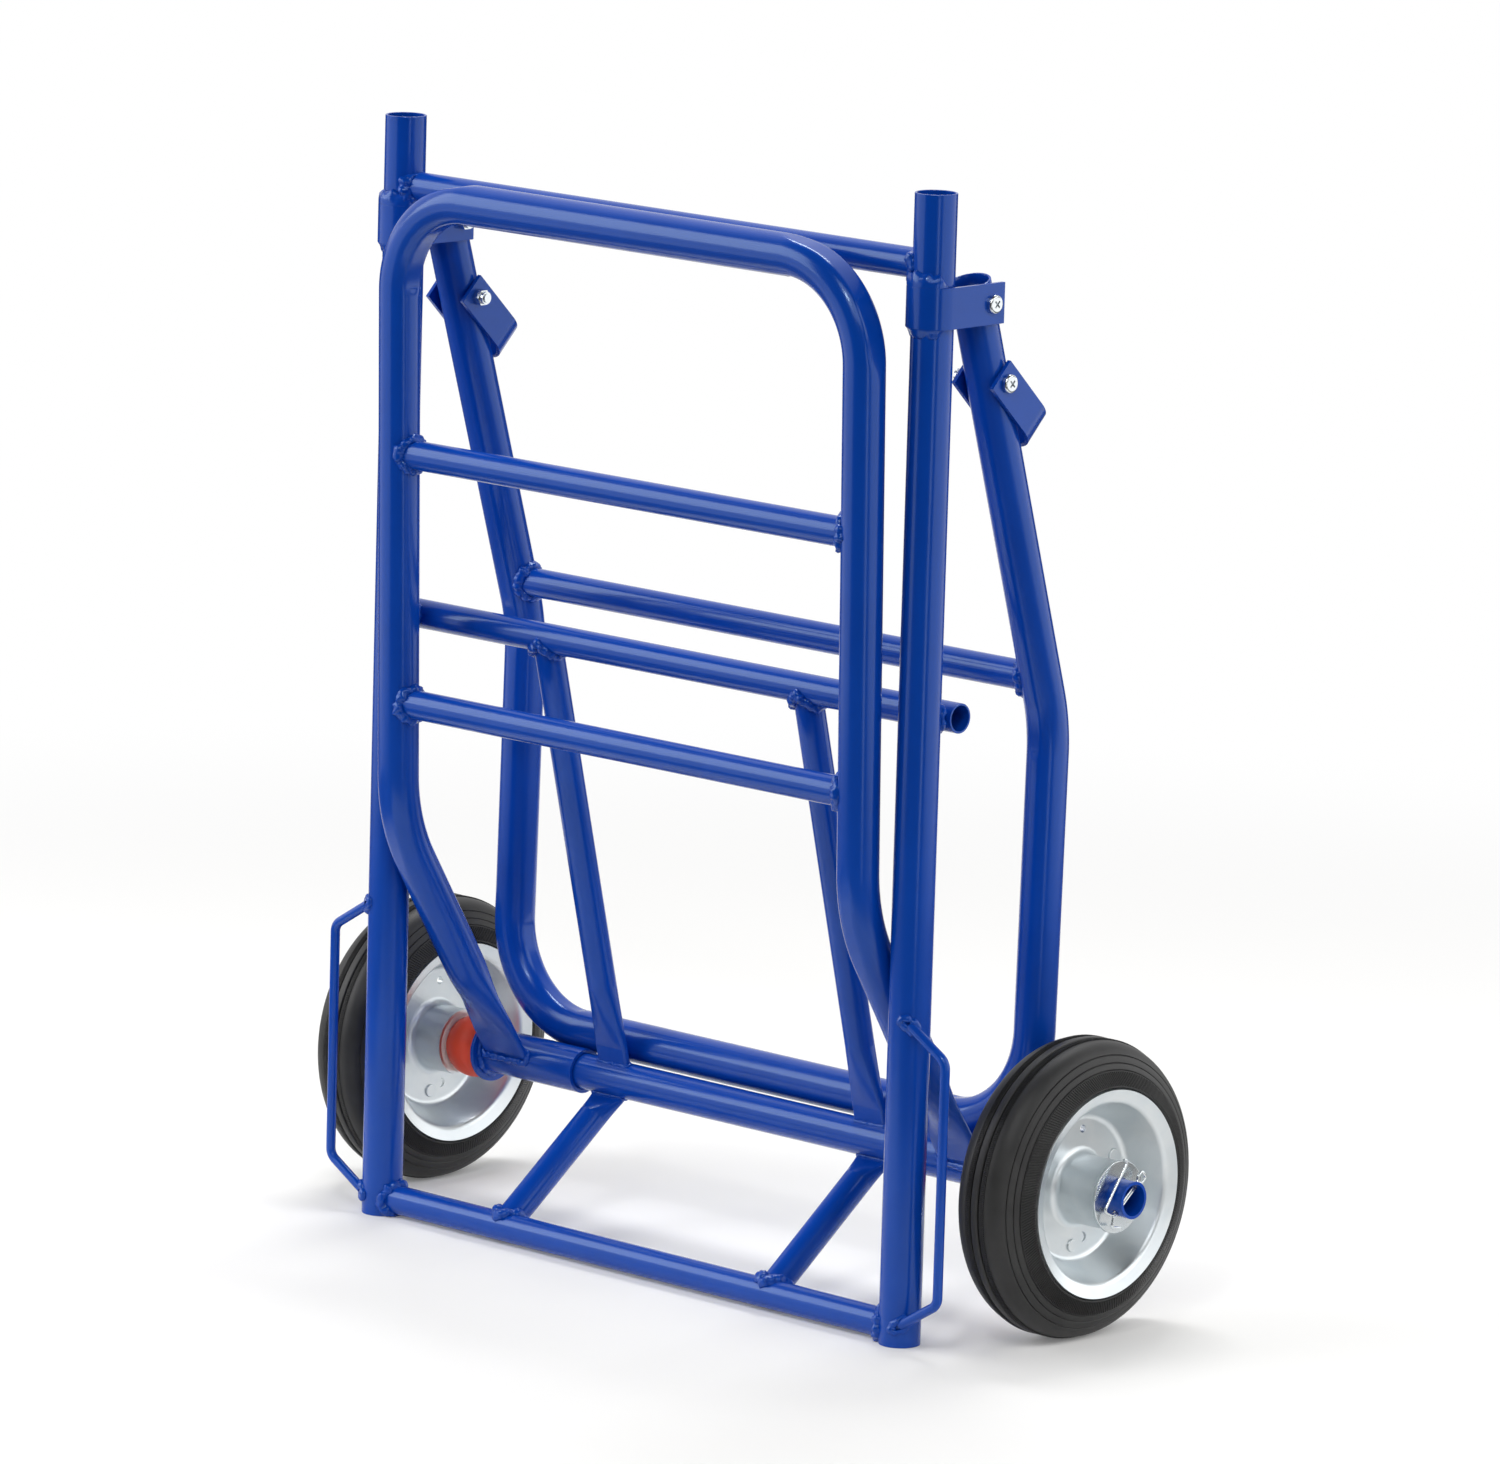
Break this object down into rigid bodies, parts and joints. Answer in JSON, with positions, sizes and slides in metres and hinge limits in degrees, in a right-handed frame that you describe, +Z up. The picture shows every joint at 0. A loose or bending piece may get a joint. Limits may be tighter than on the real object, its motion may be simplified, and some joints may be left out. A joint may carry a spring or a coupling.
{
  "type": "two-wheeled hand cart",
  "caption": "Folding hand cart of welded tube with a hinged load frame, fold-down handle, lock bails, strap loops and rubber-tyred wheels on a common axle.",
  "frame": {"origin": "on the floor, midway between the wheels and at the middle of the cart's depth", "axes": "+X to the right seen from the front, +Y to the back where the handle hangs, +Z up"},
  "size_m": [0.6976, 0.2515, 0.76],
  "materials": {
    "blue_paint": "gloss",
    "tyre_rubber": "satin",
    "zinc_steel": "zinc plated",
    "orange_plastic": "satin",
    "bush_nylon": "satin"
  },
  "bodies": {
    "chassis": {"upright_left": "blue_paint", "upright_right": "blue_paint", "top_cross_tube": "blue_paint", "middle_cross_tube": "blue_paint", "bottom_cross_tube": "blue_paint", "axle_tube": "blue_paint", "strut_left": "blue_paint", "strut_right": "blue_paint", "brace_left": "blue_paint", "brace_right": "blue_paint", "side_loop_left": "blue_paint", "side_loop_right": "blue_paint", "hinge_bracket_left": "blue_paint", "hinge_bracket_right": "blue_paint", "hinge_bolts": "zinc_steel", "hinge_nuts": "zinc_steel", "ball_spacer_left": "orange_plastic", "ball_spacer_right": "orange_plastic", "axle_washer_left": "zinc_steel", "axle_washer_right": "zinc_steel", "split_pin_left": "zinc_steel", "split_pin_right": "zinc_steel"},
    "load_frame": {"load_frame_tube": "blue_paint", "load_frame_rung_upper": "blue_paint", "load_frame_rung_lower": "blue_paint", "pivot_sleeve_left": "blue_paint", "pivot_sleeve_right": "blue_paint", "sleeve_flange_left": "blue_paint", "sleeve_flange_right": "blue_paint"},
    "handle": {"handle_tube": "blue_paint", "handle_cross_tube": "blue_paint", "bail_bolts": "zinc_steel", "bail_nuts": "zinc_steel"},
    "bail_left": {"lock_bail_left": "blue_paint"},
    "bail_right": {"lock_bail_right": "blue_paint"},
    "wheel_left": {"tyre_left": "tyre_rubber", "rim_outer_left": "zinc_steel", "rim_inner_left": "zinc_steel", "rim_rivets_left": "zinc_steel", "hub_bushes_left": "bush_nylon"},
    "wheel_right": {"tyre_right": "tyre_rubber", "rim_outer_right": "zinc_steel", "rim_inner_right": "zinc_steel", "rim_rivets_right": "zinc_steel", "hub_bushes_right": "bush_nylon"}
  },
  "joints": [
    {"name": "load_frame_fold", "type": "hinge", "parent": "chassis", "child": "load_frame", "pos_m": [0, 0.02575, 0.1], "axis": [1, 0, 0], "range_deg": [0, 77]},
    {"name": "handle_fold", "type": "hinge", "parent": "chassis", "child": "handle", "pos_m": [0, -0.03925, 0.6865], "axis": [1, 0, 0], "range_deg": [0, 169]},
    {"name": "bail_left_swing", "type": "hinge", "parent": "handle", "child": "bail_left", "pos_m": [-0.24, -0.02273, 0.63331], "axis": [1, 0, 0], "range_deg": [0, 64]},
    {"name": "bail_right_swing", "type": "hinge", "parent": "handle", "child": "bail_right", "pos_m": [0.24, -0.02273, 0.63331], "axis": [1, 0, 0], "range_deg": [0, 64]},
    {"name": "wheel_left_spin", "type": "hinge", "parent": "chassis", "child": "wheel_left", "pos_m": [-0.2973, 0.02575, 0.1], "axis": [1, 0, 0], "continuous": true},
    {"name": "wheel_right_spin", "type": "hinge", "parent": "chassis", "child": "wheel_right", "pos_m": [0.2973, 0.02575, 0.1], "axis": [1, 0, 0], "continuous": true}
  ]
}
